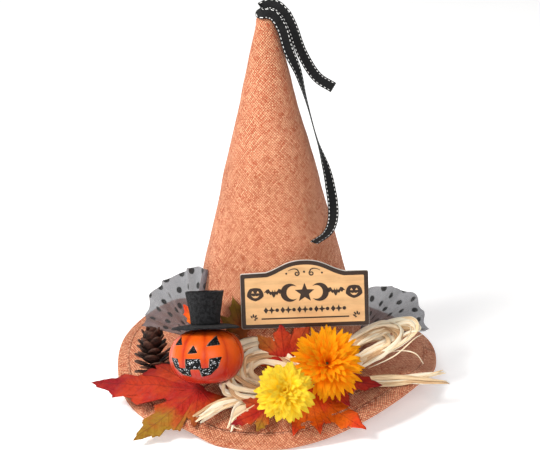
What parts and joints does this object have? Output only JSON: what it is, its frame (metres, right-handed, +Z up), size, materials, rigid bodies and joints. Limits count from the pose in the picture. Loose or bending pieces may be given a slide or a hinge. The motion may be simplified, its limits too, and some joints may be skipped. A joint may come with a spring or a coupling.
{
  "type": "decorated witch hat",
  "caption": "Table-top witch hat with a tall cloth cone, a wavy wired brim, ribbon tails at the tip, and a band of harvest trimmings across the front.",
  "frame": {"origin": "middle of the hat's footprint, on the surface that it stands on", "axes": "+Z up along the cone, -Y towards the trimmed front, +X to the viewer's right"},
  "size_m": [0.3032, 0.2864, 0.33],
  "materials": {
    "hat_cloth": "coarse linen-look weave, orange",
    "under_cloth": "the same cloth in shade",
    "hem_cloth": "turned edge of the hat cloth",
    "hat_card": "grey-brown card, matt",
    "inner_band_tape": "dark woven tape",
    "edge_wire": "bare wire",
    "ribbon_black": "black grosgrain with a white running stitch along each edge",
    "ribbon_thread": "gathered stitches",
    "sign_wood": "thin fibreboard, pale sawn edge",
    "sign_print": "printed tan face with a dark brown border",
    "glue": "set hot glue",
    "pumpkin_skin": "painted resin, orange shading to red",
    "black_glitter": "black glitter",
    "black_felt": "pressed felt, charcoal",
    "cone_scale": "dry pine cone, dark brown",
    "florist_wire": "paper-wound wire",
    "yellow_petal": "stiffened petal cloth, yellow",
    "orange_petal": "stiffened petal cloth, golden orange",
    "calyx_green": "moulded green plastic",
    "stem_green": "green plastic over wire",
    "leaf_red": "printed leaf cloth, red to orange",
    "leaf_orange": "printed leaf cloth, orange",
    "leaf_brown": "printed leaf cloth, ochre brown",
    "leaf_stalk": "moulded stalk, dark red",
    "raffia_straw": "dry raffia, pale straw",
    "tulle_grey": "fine grey net with black flock dots",
    "tulle_thread": "wound thread"
  },
  "bodies": {
    "hat": {"crown_cloth": "hat_cloth", "brim_top_cloth": "hat_cloth", "brim_under_cloth": "under_cloth", "brim_hem": "hem_cloth", "crown_card": "hat_card", "brim_card": "hat_card", "inner_band": "inner_band_tape", "brim_edge_wire": "edge_wire", "ribbon_fold": "ribbon_black", "ribbon_tack": "ribbon_thread", "sign_board": "sign_wood", "sign_face_print": "sign_print", "sign_glue_pad": "glue", "pumpkin_glue_pad": "glue", "bow_glue_pad": "glue", "pumpkin_body": "pumpkin_skin", "pumpkin_left_eye": "black_glitter", "pumpkin_right_eye": "black_glitter", "pumpkin_nose": "black_glitter", "pumpkin_mouth": "black_glitter", "pumpkin_hat_brim": "black_felt", "pumpkin_hat_crown": "black_felt", "pumpkin_hat_top": "black_felt", "pine_cone": "cone_scale", "pine_cone_wire": "florist_wire", "yellow_mum_outer_petals": "yellow_petal", "yellow_mum_middle_petals": "yellow_petal", "yellow_mum_inner_petals": "yellow_petal", "orange_mum_outer_petals": "orange_petal", "orange_mum_middle_petals": "orange_petal", "orange_mum_inner_petals": "orange_petal", "yellow_mum_calyx": "calyx_green", "orange_mum_calyx": "calyx_green", "yellow_mum_stem": "stem_green", "orange_mum_stem": "stem_green", "left_leaf_blade": "leaf_red", "right_leaf_blade": "leaf_red", "sign_leaf_blade": "leaf_red", "small_leaf_blade": "leaf_red", "front_leaf_blade": "leaf_orange", "hat_leaf_blade": "leaf_orange", "back_leaf_blade": "leaf_brown", "left_leaf_stem": "leaf_stalk", "front_leaf_stem": "leaf_stalk", "right_leaf_stem": "leaf_stalk", "sign_leaf_stem": "leaf_stalk", "raffia_left_loops": "raffia_straw", "raffia_right_loops": "raffia_straw", "raffia_left_tails": "raffia_straw", "raffia_right_tails": "raffia_straw", "raffia_tie": "raffia_straw", "tulle_left": "tulle_grey", "tulle_right": "tulle_grey", "tulle_left_tie": "tulle_thread", "tulle_right_tie": "tulle_thread"},
    "long_tail": {"ribbon_long_tail": "ribbon_black"},
    "short_tail": {"ribbon_short_tail": "ribbon_black"}
  },
  "joints": [
    {"name": "long_tail_lift", "type": "hinge", "parent": "hat", "child": "long_tail", "pos_m": [0.01992, 0.00325, 0.321], "axis": [0, -1, 0], "range_deg": [0, 75]},
    {"name": "short_tail_lift", "type": "hinge", "parent": "hat", "child": "short_tail", "pos_m": [0.01992, 0.00325, 0.321], "axis": [0, -1, 0], "range_deg": [0, 60]}
  ]
}
